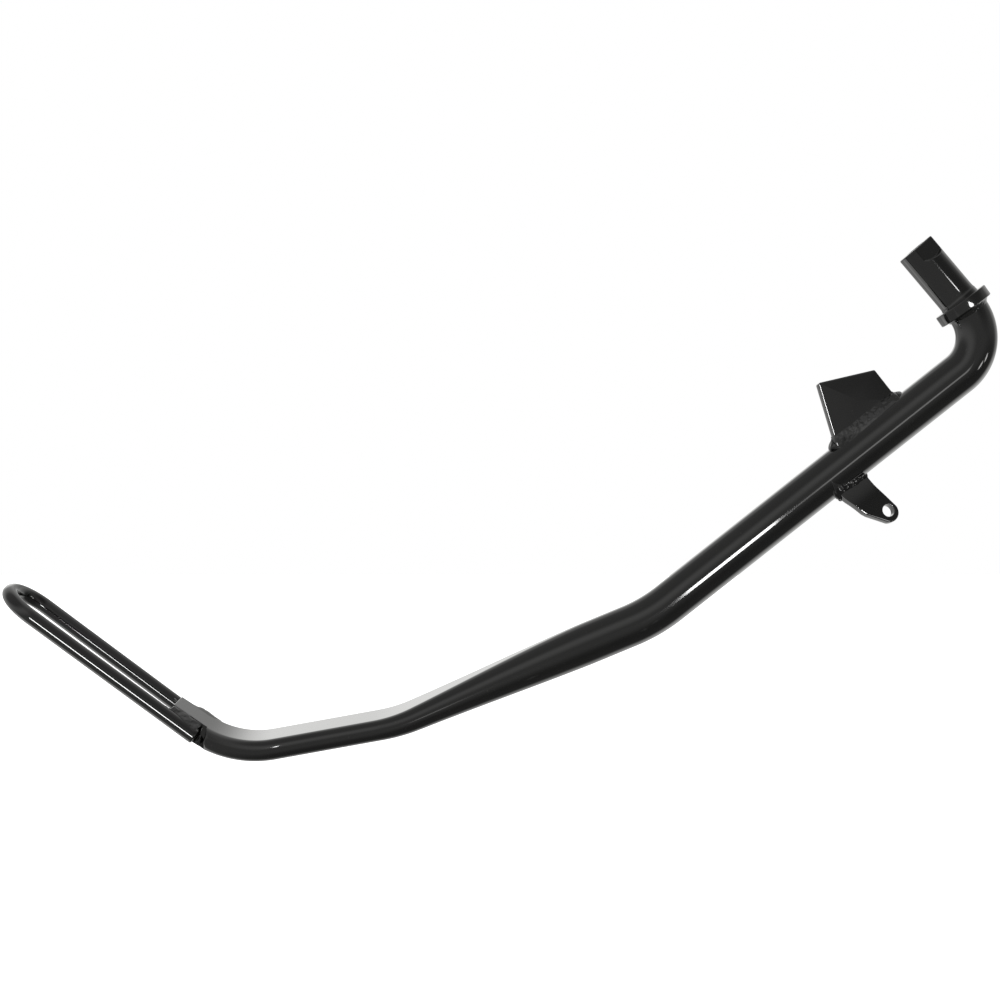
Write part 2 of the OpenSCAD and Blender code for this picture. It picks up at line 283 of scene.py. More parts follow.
def ripple(p, size, seed):
    """Smooth noise from -1 to 1 at a point in mm, for features of about this size."""
    return noise.noise(Vector(p) / size + Vector((seed, 1.7 * seed, -0.6 * seed)))


# ---------------------------------------------------------------- materials
CLOUD_SCALE = 28.0
DUST_SCALE = 900.0
PEEL_SCALE = 320.0
PIT_SCALE = 1500.0
LACQUER_IOR = 1.5


def noise_node(nodes, links, coord, scale, detail):
    n = nodes.new("ShaderNodeTexNoise")
    n.inputs["Scale"].default_value = scale
    n.inputs["Detail"].default_value = detail
    links.new(coord.outputs["Object"], n.inputs["Vector"])
    return n.outputs["Fac"]


def colour_ramp(nodes, links, source, low, high):
    """A colour that changes from one (position, colour) to another as the source rises."""
    n = nodes.new("ShaderNodeValToRGB")
    for element, (position, colour) in zip(n.color_ramp.elements, (low, high)):
        element.position = position
        element.color = (*colour, 1)
    links.new(source, n.inputs["Fac"])
    return n.outputs["Color"]


def add_colours(nodes, links, a, b):
    n = nodes.new("ShaderNodeMix")
    n.data_type = "RGBA"
    n.blend_type = "ADD"
    n.inputs[0].default_value = 1.0
    links.new(a, n.inputs[6])
    links.new(b, n.inputs[7])
    return n.outputs[2]


def gloss_paint(name, base, roughness, peel, pits):
    """Gloss black paint: orange peel, fine dust, uneven gloss, and paint worn thin on sharp edges."""
    m = bpy.data.materials.new(name)
    m.use_nodes = True
    t = m.node_tree
    nodes, links = t.nodes, t.links
    nodes.clear()
    out = nodes.new("ShaderNodeOutputMaterial")
    bsdf = nodes.new("ShaderNodeBsdfPrincipled")
    links.new(bsdf.outputs["BSDF"], out.inputs["Surface"])
    coord = nodes.new("ShaderNodeTexCoord")

    cloud = noise_node(nodes, links, coord, CLOUD_SCALE, 4.0)
    dull = (base * 0.8, base * 0.8, base * 0.78)
    warm = (base * 1.3, base * 1.27, base * 1.15)
    tint = colour_ramp(nodes, links, cloud, (0.3, dull), (0.75, warm))

    dust = noise_node(nodes, links, coord, DUST_SCALE, 2.0)
    fleck = colour_ramp(nodes, links, dust, (0.70, (0, 0, 0)), (0.80, (0.012, 0.012, 0.011)))
    dusty = add_colours(nodes, links, tint, fleck)

    geometry = nodes.new("ShaderNodeNewGeometry")
    pointed = geometry.outputs["Pointiness"]
    edge = colour_ramp(nodes, links, pointed, (0.56, (0, 0, 0)), (0.70, (0.008, 0.008, 0.008)))
    worn = add_colours(nodes, links, dusty, edge)
    links.new(worn, bsdf.inputs["Base Color"])

    rough = nodes.new("ShaderNodeMapRange")
    rough.inputs["From Min"].default_value = 0.3
    rough.inputs["From Max"].default_value = 0.7
    rough.inputs["To Min"].default_value = roughness * 0.8
    rough.inputs["To Max"].default_value = roughness * 1.25
    links.new(cloud, rough.inputs["Value"])
    links.new(rough.outputs["Result"], bsdf.inputs["Roughness"])
    bsdf.inputs["IOR"].default_value = LACQUER_IOR

    height = nodes.new("ShaderNodeMath")
    height.operation = "MULTIPLY_ADD"
    height.inputs[1].default_value = pits
    links.new(noise_node(nodes, links, coord, PIT_SCALE, 1.0), height.inputs[0])
    links.new(noise_node(nodes, links, coord, PEEL_SCALE, 1.5), height.inputs[2])
    bump = nodes.new("ShaderNodeBump")
    bump.inputs["Strength"].default_value = 1.0
    bump.inputs["Distance"].default_value = peel
    links.new(height.outputs[0], bump.inputs["Height"])
    links.new(bump.outputs["Normal"], bsdf.inputs["Normal"])
    return m


PAINT = gloss_paint("gloss_black_paint", 0.0018, 0.07, 0.0000025, 0.03)
WELD_PAINT = gloss_paint("gloss_black_weld", 0.0022, 0.09, 0.000006, 0.08)


# ---------------------------------------------------------------- leg bar
AROUND = 200


def section(t, n):
    """Points round a flattened section of thickness t, evenly spaced, from +b turning through +m."""
    hf, r = half_flat(t), t / 2
    length = 4 * hf + 2 * math.pi * r
    pts = []
    for k in range(n):
        d = (k + 0.5) / n * length
        quarter = math.pi * r / 2
        if d < quarter:
            a = d / r
            pts.append((hf + r * math.cos(a), r * math.sin(a)))
        elif d < quarter + 2 * hf:
            pts.append((hf - (d - quarter), r))
        elif d < 3 * quarter + 2 * hf:
            a = math.pi / 2 + (d - quarter - 2 * hf) / r
            pts.append((-hf + r * math.cos(a), r * math.sin(a)))
        elif d < 3 * quarter + 4 * hf:
            pts.append((-hf + (d - 3 * quarter - 2 * hf), -r))
        else:
            a = 1.5 * math.pi + (d - 3 * quarter - 4 * hf) / r
            pts.append((hf + r * math.cos(a), r * math.sin(a)))
    return pts


def soft_min(a, b, k):
    """The smaller of a and b, with a rounded change between them."""
    h = clamp01(0.5 + 0.5 * (b - a) / k)
    return b * (1 - h) + a * h - k * h * (1 - h)


def placed(s, b, m):
    """A point of the section at length s, b across the flats and m out of them, after the roll."""
    rb = b * math.cos(rad(FLAT_ROLL)) - m * math.sin(rad(FLAT_ROLL))
    rm = b * math.sin(rad(FLAT_ROLL)) + m * math.cos(rad(FLAT_ROLL))
    p, h = station(s)
    return p + heading_dir(h - 90) * rm + Vector((0, rb, 0))


def shoulder_station(b, m):
    """Length along the bar at which a point of the section meets the notches' leaning shoulder."""
    to_foot = foot_frame().inverted()
    lo, hi = FOOT_AT - 25, FOOT_AT + 8
    for _ in range(30):
        half = (lo + hi) / 2
        q = to_foot @ placed(half, b, m)
        if -q.x < NOTCH_START + math.tan(rad(NOTCH_LEAN)) * q.z:
            lo = half
        else:
            hi = half
    return (lo + hi) / 2


def near_bend(s, i):
    return BEND_AT[i] - 3 < s < BEND_AT[i] + arc_len(i) + 3


def leg_bar():
    """The bar as one skin: hole, end face, shaft, bends, pressed run, notches and tongue."""
    rings = []
    flat_angle = rad(KEY_TURN - 90)
    zc = SHAFT_LEN - KEY_LEN + KEY_CUTTER_R
    half_w = math.sqrt((SHAFT_D / 2) ** 2 - KEY_OFFSET ** 2)
    z_side = zc - math.sqrt(KEY_CUTTER_R ** 2 - half_w ** 2)
    pf = pivot_frame()
    # the angle round the shaft of each of the section's points, so that shaft and bar share columns
    columns = []
    for b, m in section(BAR_D, AROUND):
        rb = b * math.cos(rad(FLAT_ROLL)) - m * math.sin(rad(FLAT_ROLL))
        rm = b * math.sin(rad(FLAT_ROLL)) + m * math.cos(rad(FLAT_ROLL))
        columns.append(math.atan2(rb, -rm))

    def shoulder(a):
        y = SHAFT_D / 2 * math.sin(a - flat_angle)
        if math.cos(a - flat_angle) > 0 and abs(y) < half_w:
            return zc - math.sqrt(KEY_CUTTER_R ** 2 - y * y)
        return z_side

    def key_radius(a, r):
        c = math.cos(a - flat_angle)
        return soft_min(r, KEY_OFFSET / c, 0.35) if c > 0.2 else r

    def ring(radius, z):
        return [pf @ Vector((radius(a) * math.cos(a), radius(a) * math.sin(a), z(a))) for a in columns]

    # from the bottom of the tapped hole up its wall, over the end face and down the shaft
    hole_r = THREAD_D / 2
    bottom = SHAFT_LEN - THREAD_DEPTH
    rings.append(ring(lambda a: 0.2, lambda a: bottom))
    rings.append(ring(lambda a: hole_r - 0.3, lambda a: bottom))
    steps = int((THREAD_DEPTH - 1.4) / THREAD_PITCH * 6)
    for k in range(steps + 1):
        z = bottom + 0.3 + k * THREAD_PITCH / 6

        def wall(a, z=z):
            phase = (z / THREAD_PITCH + a / (2 * math.pi)) % 1.0
            return hole_r + 0.45 * (1 - abs(2 * phase - 1))
        rings.append(ring(wall, lambda a, z=z: z))
    rings.append(ring(lambda a: hole_r + 0.15, lambda a: SHAFT_LEN - 0.95))
    rings.append(ring(lambda a: hole_r + 0.9, lambda a: SHAFT_LEN - 0.12))
    rings.append(ring(lambda a: hole_r + 1.05, lambda a: SHAFT_LEN))
    r_end = SHAFT_D / 2
    for k in (0.35, 0.7):
        rings.append(ring(lambda a, k=k: lerp(hole_r + 1.05, key_radius(a, r_end) - EDGE, k),
                          lambda a: SHAFT_LEN))
    for k in range(5):
        q = math.pi / 2 * k / 4
        rings.append(ring(lambda a, q=q: key_radius(a, r_end) - EDGE * (1 - math.sin(q)),
                          lambda a, q=q: SHAFT_LEN - EDGE * (1 - math.cos(q))))
    top = SHAFT_LEN - EDGE
    for k in range(1, 9):
        t = k / 8
        rings.append(ring(lambda a: key_radius(a, r_end), lambda a, t=t: lerp(top, shoulder(a) + 0.25, t)))
    for dz, t in ((0.12, 0.02), (0.04, 0.12), (0.0, 0.4), (-0.03, 0.75), (-0.12, 0.94), (-0.3, 1.0)):
        rings.append(ring(lambda a, t=t: lerp(key_radius(a, r_end), r_end, t),
                          lambda a, dz=dz: shoulder(a) + dz))
    for k in range(1, 25):
        t = k / 24
        rings.append(ring(lambda a: r_end, lambda a, t=t: lerp(shoulder(a) - 0.3, 3.0, t)))
    for k in range(1, 9):
        z = 3.0 * (1 - k / 8)
        rings.append(ring(lambda a, z=z: r_end + 0.35 * math.exp(-z / 0.7), lambda a, z=z: z))
    for k in range(1, 7):
        t = k / 6
        rings.append(ring(lambda a, t=t: lerp(r_end + 0.35, BAR_D / 2, smooth(t)),
                          lambda a, t=t: -SEAT_LEN * t))

    # down the bar to the notches, whose uneven shoulders lean, and out along the tongue
    shoulders = [shoulder_station(b, m) for b, m in section(thickness(FOOT_AT - 5), AROUND)]
    mean = sum(shoulders) / AROUND
    shoulders = [v + 0.45 * ripple((0.2 * k, 0, 0), 1.0, 2.0) for k, v in enumerate(shoulders)]

    def bar_ring(s, clamp=0.0, follow=0.0, inset=0.0):
        t = thickness(s)
        ring_pts = []
        for k, (b, m) in enumerate(section(t, AROUND)):
            if inset:
                keep = 1 - inset / (t / 2)
                b, m = math.copysign(max(0.0, abs(b) - inset), b), m * keep
            cut = math.copysign(soft_min(abs(b), TONGUE_W / 2 - inset, 0.5), b)
            ring_pts.append(placed(s + follow * (shoulders[k] - mean), lerp(b, cut, clamp), m))
        return ring_pts

    s = SEAT_LEN
    stops = []
    while s < BEND_AT[4] - 2.0:
        stops.append(s)
        if near_bend(s, 1):
            s += 0.9
        elif near_bend(s, 2) or near_bend(s, 3):
            s += 1.6
        else:
            s += 3.0
    for v in stops[1:]:
        rings.append(bar_ring(v))
    count = 30
    for k in range(1, count + 1):
        rings.append(bar_ring(lerp(stops[-1], mean - 0.8, k / count), 0.0, smooth(k / count)))
    rounded_edge = ((-0.6, 0.01), (-0.3, 0.04), (-0.1, 0.09), (0.0, 0.16))
    wall_and_foot = ((0.0, 0.75), (0.06, 0.95), (0.25, 1.0))
    for ds, c in rounded_edge + wall_and_foot:
        rings.append(bar_ring(mean + ds, c, 1.0))
    count = 30
    for k in range(1, count + 1):
        s = lerp(mean + 0.25, BAR_LEN - TIP_EDGE, k / count)
        rings.append(bar_ring(s, 1.0, 1 - smooth(1.8 * k / count)))
    for k in range(1, 5):
        q = math.pi / 2 * k / 4
        inset = TIP_EDGE * (1 - math.cos(q))
        rings.append(bar_ring(BAR_LEN - TIP_EDGE * (1 - math.sin(q)), 1.0, 0.0, inset))
    rings.append(bar_ring(BAR_LEN, 1.0, 0.0, 2.0))
    verts, faces = loft(rings)
    cap(verts, faces, 0, AROUND)
    cap(verts, faces, len(rings) - 1, AROUND)
    return make("leg_bar_painted", verts, faces, PAINT, "leg_bar")


# ---------------------------------------------------------------- collar and its weld
def arc_points(cx, cz, r, a0, a1, steps):
    angles = [rad(lerp(a0, a1, k / steps)) for k in range(steps + 1)]
    return [(cx + r * math.cos(a), cz + r * math.sin(a)) for a in angles]


def thrust_collar():
    bore, outer, e = SHAFT_D / 2 + 0.05, COLLAR_D / 2, 0.55
    profile = [(bore, -0.2), (bore + 0.2, 0)]
    profile += arc_points(outer - e, -e, e, 90, 0, 5)
    profile += arc_points(outer - e, e - COLLAR_T, e, 0, -90, 5)
    profile += [(bore + 0.2, -COLLAR_T), (bore, 0.2 - COLLAR_T)]
    n = 144
    rings = []
    for k in range(n):
        a = 2 * math.pi * k / n
        wob = 0.05 * ripple((4 * math.cos(a), 4 * math.sin(a), 0), 3.0, 2.3)
        ring = []
        for r, z in profile:
            if r > bore + 1:
                r += wob
            ring.append(collar_frame() @ Vector((r * math.cos(a), r * math.sin(a), z)))
        rings.append(ring)
    rings.append(rings[0])
    verts, faces = loft(rings)
    return make("thrust_collar_painted", verts, faces, PAINT, "thrust_collar")


# steps across a weld's face, from toe to toe
FACE = 18


def arc_face(a, b, root, along, bulge):
    """Points from toe to toe on a face that bulges away from the root."""
    out = (b - a).cross(along).normalized()
    if out.dot((a + b) / 2 - root) < 0:
        out = -out
    return [a.lerp(b, j / FACE) + out * (bulge * math.sin(math.pi * j / FACE)) for j in range(FACE + 1)]


def skin(name, stations, replaced, rough, wave, seed, closed=False):
    """A weld through stations of (face points, root), closed round the root inside the metal.

    The face is uneven by about rough mm, which fades out at both toes.
    """
    back = 8
    rings = []
    for points, root in stations:
        ring = []
        for j, v in enumerate(points):
            fade = min(1.0, 1.6 * math.sin(math.pi * j / FACE))
            uneven = ripple(v, wave, seed) + 0.45 * ripple(v, wave * 0.38, seed + 7)
            ring.append(v + (v - root).normalized() * (rough * fade * uneven))
        a, b = points[0], points[-1]
        for j in range(1, back):
            t = j / back
            ring.append((1 - t) ** 2 * b + 2 * t * (1 - t) * root + t * t * a)
        rings.append(ring)
    if closed:
        rings.append(rings[0])
    n = len(rings[0])
    verts, faces = loft(rings)
    if not closed:
        cap(verts, faces, 0, n)
        cap(verts, faces, len(rings) - 1, n)
    return make(name, verts, faces, WELD_PAINT, replaced, sharp=45)


def fillet(name, toes, replaced, rough, wave, seed, closed=False):
    """A weld through stations of (toe, toe, root, bulge)."""
    stations = []
    for k, (a, b, root, bulge) in enumerate(toes):
        along = toes[min(k + 1, len(toes) - 1)][0] - toes[max(k - 1, 0)][0]
        stations.append((arc_face(a, b, root, along, bulge), root))
    return skin(name, stations, replaced, rough, wave, seed, closed)


def collar_weld():
    stations = []
    n = 160
    for k in range(n):
        a = 2 * math.pi * k / n
        c = Vector((math.cos(a), math.sin(a), 0))
        lump = 0.25 * ripple(10 * c, 6.0, 3.0)
        leg = 0.9 + 1.5 * smooth(0.5 + 0.5 * math.cos(a + rad(25)))
        toe = c * (BAR_D / 2 + leg + lump) + Vector((0, 0, 0.2 - COLLAR_T))
        heel = c * (BAR_D / 2 - 0.05) + Vector((0, 0, -COLLAR_T - 1.2 * leg + lump))
        root = c * (BAR_D / 2 - 1.5) + Vector((0, 0, 1.0 - COLLAR_T))
        m = collar_frame()
        stations.append((m @ toe, m @ heel, m @ root, -0.12 * leg))
    return fillet("collar_weld_painted", stations, "collar_weld",
                  rough=0.2, wave=2.4, seed=3.0, closed=True)


# ---------------------------------------------------------------- plates
def prism(frame_m, outline, half_t, edge):
    """A plate from an outline in x and z, with rounded edges, as lofted rings from face to face."""
    n = len(outline)
    centre = Vector((sum(p[0] for p in outline) / n, sum(p[1] for p in outline) / n))

    def inset(d):
        pts = []
        for k in range(n):
            a, b, c = (Vector(outline[(k + j) % n]) for j in (-1, 0, 1))
            e0, e1 = (b - a).normalized(), (c - b).normalized()
            n0, n1 = Vector((-e0.y, e0.x)), Vector((-e1.y, e1.x))
            if n0.dot(centre - b) < 0:
                n0, n1 = -n0, -n1
            bis = (n0 + n1).normalized()
            pts.append(b + bis * (d / max(0.35, bis.dot(n0))))
        return pts
    rings = []
    for side, order in ((-1, range(0, 5)), (1, range(4, -1, -1))):
        for k in order:
            q = math.pi / 2 * k / 4
            y = side * (half_t - edge + edge * math.cos(q))
            pts = inset(edge * (1 - math.sin(q)))
            rings.append([frame_m @ Vector((p.x, y, p.y)) for p in pts])
    verts, faces = loft(rings)
    return rings, verts, faces


def round_outline(points, radii, per=6):
    """Replaces each corner of a polygon with an arc of its radius."""
    out = []
    n = len(points)
    for k in range(n):
        a, b, c = (Vector(points[(k + j) % n]) for j in (-1, 0, 1))
        r = radii[k]
        u, v = (a - b).normalized(), (c - b).normalized()
        half = math.acos(max(-1, min(1, u.dot(v)))) / 2
        d = r / math.tan(half)
        centre = b + (u + v).normalized() * (r / math.sin(half))
        p0, p1 = b + u * d, b + v * d
        a0 = math.atan2(p0.y - centre.y, p0.x - centre.x)
        a1 = math.atan2(p1.y - centre.y, p1.x - centre.x)
        da = (a1 - a0 + math.pi) % (2 * math.pi) - math.pi
        for j in range(per + 1):
            ang = a0 + da * j / per
            out.append((centre.x + r * math.cos(ang), centre.y + r * math.sin(ang)))
    return out


def dense(points, step):
    """The outline with more points, about step apart."""
    out = []
    n = len(points)
    for k in range(n):
        a, b = Vector(points[k]), Vector(points[(k + 1) % n])
        m = max(1, int((b - a).length / step))
        for j in range(m):
            p = a.lerp(b, j / m)
            out.append((p.x, p.y))
    return out


def stop_plate():
    foot = BAR_D / 2 - 2
    points = [(0, foot), (0, STOP_LOW), (-STOP_TOP, STOP_HIGH), (-STOP_FOOT, foot)]
    outline = round_outline(points, [0.9, 0.9, 0.9, 0.9], 5)
    rings, verts, faces = prism(stop_frame(), outline, STOP_T / 2, PLATE_EDGE)
    n = len(outline)
    cap(verts, faces, 0, n)
    cap(verts, faces, len(rings) - 1, n)
    return make("stop_plate_painted", verts, faces, PAINT, "stop_plate", sharp=30)


def on_bar(y, down=False):
    """Height of the round bar's surface over its axis, at y across it."""
    z = math.sqrt(max(0.0, (BAR_D / 2) ** 2 - y * y))
    return -z if down else z


def stop_weld(side, name, replaced):
    """A flat fillet from the plate's face down onto the bar, wrapping both ends of the plate."""
    stations = []
    n = 150
    up = upper_frame(STOP_START + STOP_FOOT / 2)
    for k in range(n + 1):
        x = lerp(4.2, -STOP_FOOT - 3.4, k / n)
        over = clamp01(max(x / 4.2, (-STOP_FOOT + 2.4 - x) / 5.8))
        beside = 1 - smooth(5 * over)
        q = up.inverted() @ stop_frame() @ Vector((x, side * STOP_T / 2 * beside, 0))
        ya = q.y - side * 0.15
        reach = 6.4 + side * 0.9 * lerp(1, -1, clamp01(-x / STOP_FOOT))
        yb = side * max(reach * (1 - 0.5 * over), side * q.y + 0.8)
        wander = 0.3 * ripple((x, 0, 0), 5.0, side * 4.0)
        level = STOP_WELD_TOP + wander + 0.8 * smooth((-x - 24) / 12)
        toe = Vector((q.x, ya, lerp(level, on_bar(ya) - 0.4, over ** 1.3)))
        foot = Vector((q.x, yb, on_bar(yb) - 0.05 - 0.4 * smooth(3 * over - 2)))
        root = Vector((q.x, q.y - side * 1.5, on_bar(q.y - side * 1.5) - 2.0))
        stations.append((up @ toe, up @ foot, up @ root, 0.3 * (1 - over) + 1.2 * math.sin(math.pi * over)))
    return fillet(name, stations, replaced, rough=0.24, wave=2.0, seed=5.0 + side)


TAB_SHIFT = (TAB_JOGGLE_DROP - BAR_D / 2) * math.tan(rad(TAB_JOGGLE))


def tab_offset(z):
    """Sideways offset of the tab's middle surface at z below the bar's axis."""
    k = math.tan(rad(TAB_JOGGLE))
    d = TAB_JOGGLE_DROP - z
    soft = 0.5 * (d + math.sqrt(d * d + 4.5 * 4.5)) - 0.3
    return -TAB_SHIFT + k * soft


def spring_tab():
    """The joggled tab, from rings that run round its hole and out to its outline."""
    tip = (-0.2, TAB_HOLE_DROP + 0.7)
    r = TAB_TIP_R
    arc = [(tip[0] + r * math.cos(rad(a)), tip[1] + r * math.sin(rad(a))) for a in range(-4, 140, 6)]
    left = [(-9.7, 25.6), (-10.7, 23.4), (-11.8, 18.5), (-13.2, 13.4), (-13.6, 8.4)]
    right = [(3.3, 8.4), (2.95, 11.4), (2.65, 14.2), (2.9, TAB_JOGGLE_DROP)]
    outline = dense(arc + left + right, 0.7)
    hub = Vector((0, TAB_HOLE_DROP))
    # columns run out from the hole; resample the outline at even angles round it
    n = 150
    polar = []
    for x, z in outline:
        around = math.atan2(z - hub.y, x - hub.x) % (2 * math.pi)
        polar.append((around, math.hypot(x - hub.x, z - hub.y)))
    polar.sort()
    polar.append((polar[0][0] + 2 * math.pi, polar[0][1]))
    edge_r, angs = [], []
    for k in range(n):
        a = 2 * math.pi * k / n
        aa = a if a >= polar[0][0] else a + 2 * math.pi
        for j in range(len(polar) - 1):
            if polar[j][0] <= aa <= polar[j + 1][0]:
                f = (aa - polar[j][0]) / max(1e-9, polar[j + 1][0] - polar[j][0])
                edge_r.append(lerp(polar[j][1], polar[j + 1][1], f))
                break
        angs.append(a)
    tf = tab_frame()
    hole_r, e, half = TAB_HOLE_D / 2, PLATE_EDGE, TAB_T / 2

    def ring(radius, y):
        pts = []
        for k in range(n):
            rr = radius(k)
            x, z = hub.x + rr * math.cos(angs[k]), hub.y + rr * math.sin(angs[k])
            pts.append(tf @ Vector((x, y + tab_offset(z), z)))
        return pts
    rings = []
    for side in (-1, 1):
        face = []
        for j in range(5):
            q = math.pi / 2 * j / 4
            face.append((lambda k, q=q: hole_r + 0.35 * (1 - math.cos(q)),
                         half - 0.35 * (1 - math.sin(q))))
        for j in range(1, 31):
            t = j / 30
            face.append((lambda k, t=t: lerp(hole_r + 0.35, edge_r[k] - e, t), half))
        for j in range(1, 6):
            q = math.pi / 2 * j / 5
            face.append((lambda k, q=q: edge_r[k] - e * (1 - math.sin(q)), half - e * (1 - math.cos(q))))
        if side == 1:
            face.reverse()
        for radius, y in face:
            rings.append(ring(radius, side * y))
    rings.append(rings[0])
    verts, faces = loft(rings)
    return make("spring_tab_painted", verts, faces, PAINT, "spring_tab", sharp=50)


def tab_weld(side, name, replaced):
    """A small uneven fillet along the tab's root, with a blob at its foot end."""
    stations = []
    n = 110
    up = upper_frame(TAB_STATION)
    for k in range(n + 1):
        x = lerp(5.4, -15.6, k / n)
        past = clamp01(max(x - 3.2, -13.4 - x) / 2.2)
        beside = 1 - smooth(4 * past)
        over = 1 - math.sqrt(max(0.0, 1 - past * past))
        blob = smooth((-10.5 - x) / 2.5)
        q = up.inverted() @ tab_frame() @ Vector((x, side * TAB_T / 2 * beside + tab_offset(BAR_D / 2), 0))
        leg = (2.0 + 0.9 * blob + 0.5 * ripple((x, 0, 0), 2.4, side * 3.0)) * (1 - over)
        ya = q.y - side * 0.1
        yb = q.y + side * max(0.3, 1.15 * leg)
        toe = Vector((q.x, ya, on_bar(ya, True) + 0.3 * over - leg))
        foot = Vector((q.x, yb, on_bar(yb, True) + 0.05 + 0.3 * over))
        root = Vector((q.x, q.y - side * 1.2, on_bar(q.y - side * 1.2, True) + 1.5))
        stations.append((up @ toe, up @ foot, up @ root, (0.25 + 0.5 * blob) * (1 - over)))
    return fillet(name, stations, replaced, rough=0.2, wave=1.8, seed=9.0 + side)


# ---------------------------------------------------------------- foot loop and its welds
def foot_loop():
    """One rod: a leg, the round tip and the other leg, with rounded cut ends."""
    tip_centre = LOOP_REACH - LOOP_TIP_W / 2
    splay = math.atan((LOOP_TIP_W - LOOP_ROOT_W) / 2 / (tip_centre - LOOP_ROOT))
    r = LOOP_TIP_W / 2
    leg = (tip_centre - LOOP_ROOT) / math.cos(splay)
    around = 72
    out_x = -tip_centre + r * math.sin(splay)

    def leg_point(side, d):
        return Vector((out_x + d * math.cos(splay), side * (r * math.cos(splay) - d * math.sin(splay))))

    path = []
    for k in range(61):
        heading = Vector((-math.cos(splay), math.sin(splay)))
        path.append((leg_point(1, leg * (1 - k / 60)), heading))
    steps = 90
    for k in range(1, steps):
        a = lerp(math.pi / 2 - splay, 1.5 * math.pi + splay, k / steps)
        on_tip = Vector((-tip_centre + r * math.cos(a), r * math.sin(a)))
        path.append((on_tip, Vector((-math.sin(a), math.cos(a)))))
    for k in range(61):
        heading = Vector((math.cos(splay), math.sin(splay)))
        path.append((leg_point(-1, leg * k / 60), heading))
    ff = foot_frame() @ Matrix.Rotation(rad(LOOP_ROLL), 4, "X") @ Matrix.Translation((0, 0, -LOOP_DROP))

    def ring(p, t, radius, along=0.0):
        side = Vector((-t.y, t.x, 0))
        c = Vector((p.x + t.x * along, p.y + t.y * along, 0))
        return [ff @ (c + side * (radius * math.cos(2 * math.pi * j / around))
                      + Vector((0, 0, radius * math.sin(2 * math.pi * j / around)))) for j in range(around)]
    e, rr = ROD_END_EDGE, ROD_D / 2
    rings = [ring(*path[0], rr - 1.5), ring(*path[0], rr - e)]
    for k in range(1, 5):
        q = math.pi / 2 * k / 4
        rings.append(ring(*path[0], rr - e * (1 - math.sin(q)), e * (1 - math.cos(q))))
    for p, t in path[1:-1]:
        rings.append(ring(p, t, rr))
    for k in range(4, 0, -1):
        q = math.pi / 2 * k / 4
        rings.append(ring(*path[-1], rr - e * (1 - math.sin(q)), -e * (1 - math.cos(q))))
    rings += [ring(*path[-1], rr - e), ring(*path[-1], rr - 1.5)]
    verts, faces = loft(rings)
    cap(verts, faces, 0, around)
    cap(verts, faces, len(rings) - 1, around)
    return make("foot_loop_painted", verts, faces, PAINT, "foot_loop")


def loop_weld(side, name, replaced):
    """From the tongue's edge over the rod; the front one fills its notch out to the flat's full width."""
    stations = []
    n = 110
    ff = foot_frame()
    start = RUN[4] + 2.6
    end = NOTCH_START - 2.5
    for k in range(n + 1):
        e = lerp(start, end, k / n)
        open_up = smooth((start - e) / 3.0)
        top = thickness(BAR_LEN - (RUN[4] - min(e, RUN[4]))) / 2
        beyond = smooth((e - RUN[4] + 0.6) / 1.5)
        toe = Vector((-e, side * (TONGUE_W / 2 - 1.3 * open_up), lerp(top + 0.03, 1.4, beyond)))
        if side < 0:
            spread = smooth((RUN[4] - 2 - e) / 13)
            rod_a = rad(lerp(88, 38, spread))
            rod_y = -(LOOP_ROOT_W / 2 + ROD_D / 2 * math.cos(rod_a))
            rod = Vector((-e, rod_y, ROD_D / 2 * math.sin(rod_a) - LOOP_DROP))
            root = Vector((-e, -(TONGUE_W / 2 - 0.8), -1.0))
            sink = smooth((LOOP_ROOT + 1.6 - e) / 3.0)
            toe = toe.lerp(Vector((-e, -TONGUE_W / 2 + 0.4, 3.4)), smooth((LOOP_ROOT - e) / 2.0))
            rod = rod.lerp(Vector((-e, -TONGUE_W / 2 - 2.4, -3.9)), sink)
            level = Vector((-e, toe.y - lerp(2.6, 0.6, sink), toe.z - 0.15))
            points = []
            for j in range(FACE + 1):
                t = j / FACE
                points.append((1 - t) ** 2 * toe + 2 * t * (1 - t) * level + t * t * rod)
                points[-1].y += 1.1 * sink * math.sin(math.pi * t) * (1 + ripple(points[-1], 1.5, 21.0))
        else:
            full = smooth((30.5 - e) / 8)
            wide = lerp(14.2, 18.0, full)
            low = lerp(2.0, 0.2, full)
            high = toe.z + 0.4 * full
            square = lerp(1.0, 0.5, full)
            root = Vector((-e, TONGUE_W / 2 - 0.8, -1.0))
            points = []
            for j in range(FACE + 1):
                q = math.pi / 2 * j / FACE
                y = lerp(toe.y, wide, math.sin(q) ** square)
                drop = 0.4 * full * (1 - smooth((y - toe.y) / 4.5))
                z = lerp(low, high, max(0.0, math.cos(q)) ** square)
                points.append(Vector((-e, y, z - drop - 0.03)))
        stations.append(([ff @ v for v in points], ff @ root))
    return skin(name, stations, replaced, rough=0.22, wave=2.6, seed=13.0 + side)


leg = leg_bar()
collar = thrust_collar()
collar_bead = collar_weld()
plate = stop_plate()
plate_bead = stop_weld(-1, "stop_weld_rear_painted", "stop_weld_rear")
stop_weld(1, "stop_weld_front_painted", "stop_weld_front")
tab = spring_tab()
tab_weld(-1, "tab_weld_rear_painted", "tab_weld_rear")
tab_weld(1, "tab_weld_front_painted", "tab_weld_front")
loop = foot_loop()
loop_weld(-1, "loop_weld_rear_painted", "loop_weld_rear")
loop_weld(1, "loop_weld_front_painted", "loop_weld_front")


# ---------------------------------------------------------------- floor (metres)
scene = bpy.context.scene
FLOOR_HALF = 6.0
FLOOR_DROP = 0.05


